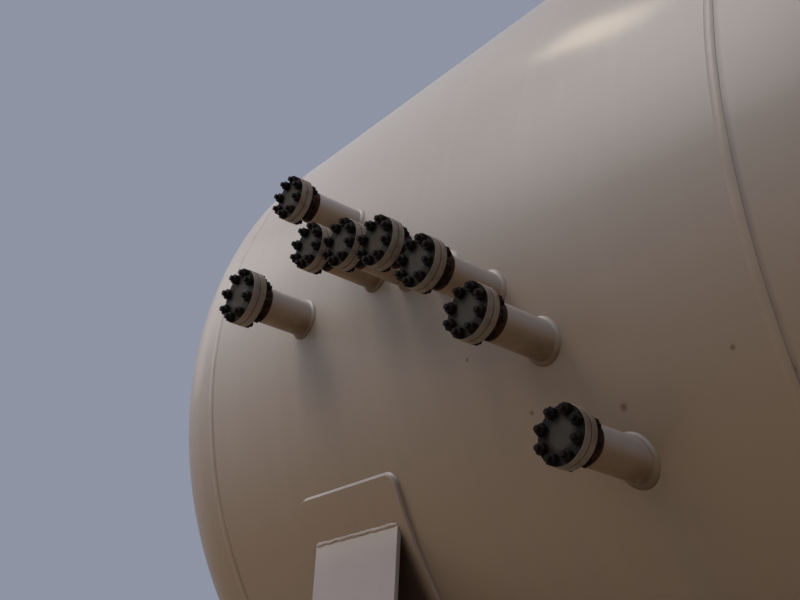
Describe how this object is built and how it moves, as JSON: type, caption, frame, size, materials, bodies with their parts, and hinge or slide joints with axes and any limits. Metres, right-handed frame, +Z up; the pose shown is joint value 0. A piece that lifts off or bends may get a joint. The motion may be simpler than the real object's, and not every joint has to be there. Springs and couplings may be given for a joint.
{
  "type": "crude oil desalter vessel",
  "caption": "Horizontal crude oil desalter vessel: pale painted steel drum with ellipsoidal heads on steel saddles and concrete piers, with a descending row of small blinded side nozzles.",
  "frame": {"origin": "on the ground under the vessel axis, at the centre of the left pier's underside", "axes": "+X along the vessel axis from the left saddle to the right one, +Z up, and the nozzles point along -Y"},
  "size_m": [14.09, 3.7706, 5],
  "materials": {
    "shell_paint": "weathered warm off-white paint, satin, with faint brush and rain marks",
    "saddle_paint": "flat light grey primer on plate with dark edges",
    "blind_steel": "dark grey-green forging with rusted studs and nuts",
    "concrete": "formed concrete, matt, with fine pores",
    "grout": "trowelled grout, matt"
  },
  "bodies": {
    "root": {"shell_course_1": "shell_paint", "shell_course_2": "shell_paint", "shell_course_3": "shell_paint", "shell_course_4": "shell_paint", "shell_course_5": "shell_paint", "head_left": "shell_paint", "head_right": "shell_paint", "nozzle_1": "shell_paint", "nozzle_2": "shell_paint", "nozzle_3": "shell_paint", "nozzle_4": "shell_paint", "nozzle_5": "shell_paint", "nozzle_6": "shell_paint", "nozzle_7": "shell_paint", "nozzle_8": "shell_paint", "blind_1": "blind_steel", "blind_2": "blind_steel", "blind_3": "blind_steel", "blind_4": "blind_steel", "blind_5": "blind_steel", "blind_6": "blind_steel", "blind_7": "blind_steel", "blind_8": "blind_steel", "saddle_left_wear_plate": "shell_paint", "saddle_left_web_and_ribs": "saddle_paint", "saddle_left_end_plate_front": "saddle_paint", "saddle_left_end_plate_back": "saddle_paint", "saddle_left_base_plate": "saddle_paint", "pier_left": "concrete", "grout_left": "grout", "saddle_right_wear_plate": "shell_paint", "saddle_right_web_and_ribs": "saddle_paint", "saddle_right_end_plate_front": "saddle_paint", "saddle_right_end_plate_back": "saddle_paint", "saddle_right_base_plate": "saddle_paint", "pier_right": "concrete", "grout_right": "grout"}
  },
  "joints": []
}
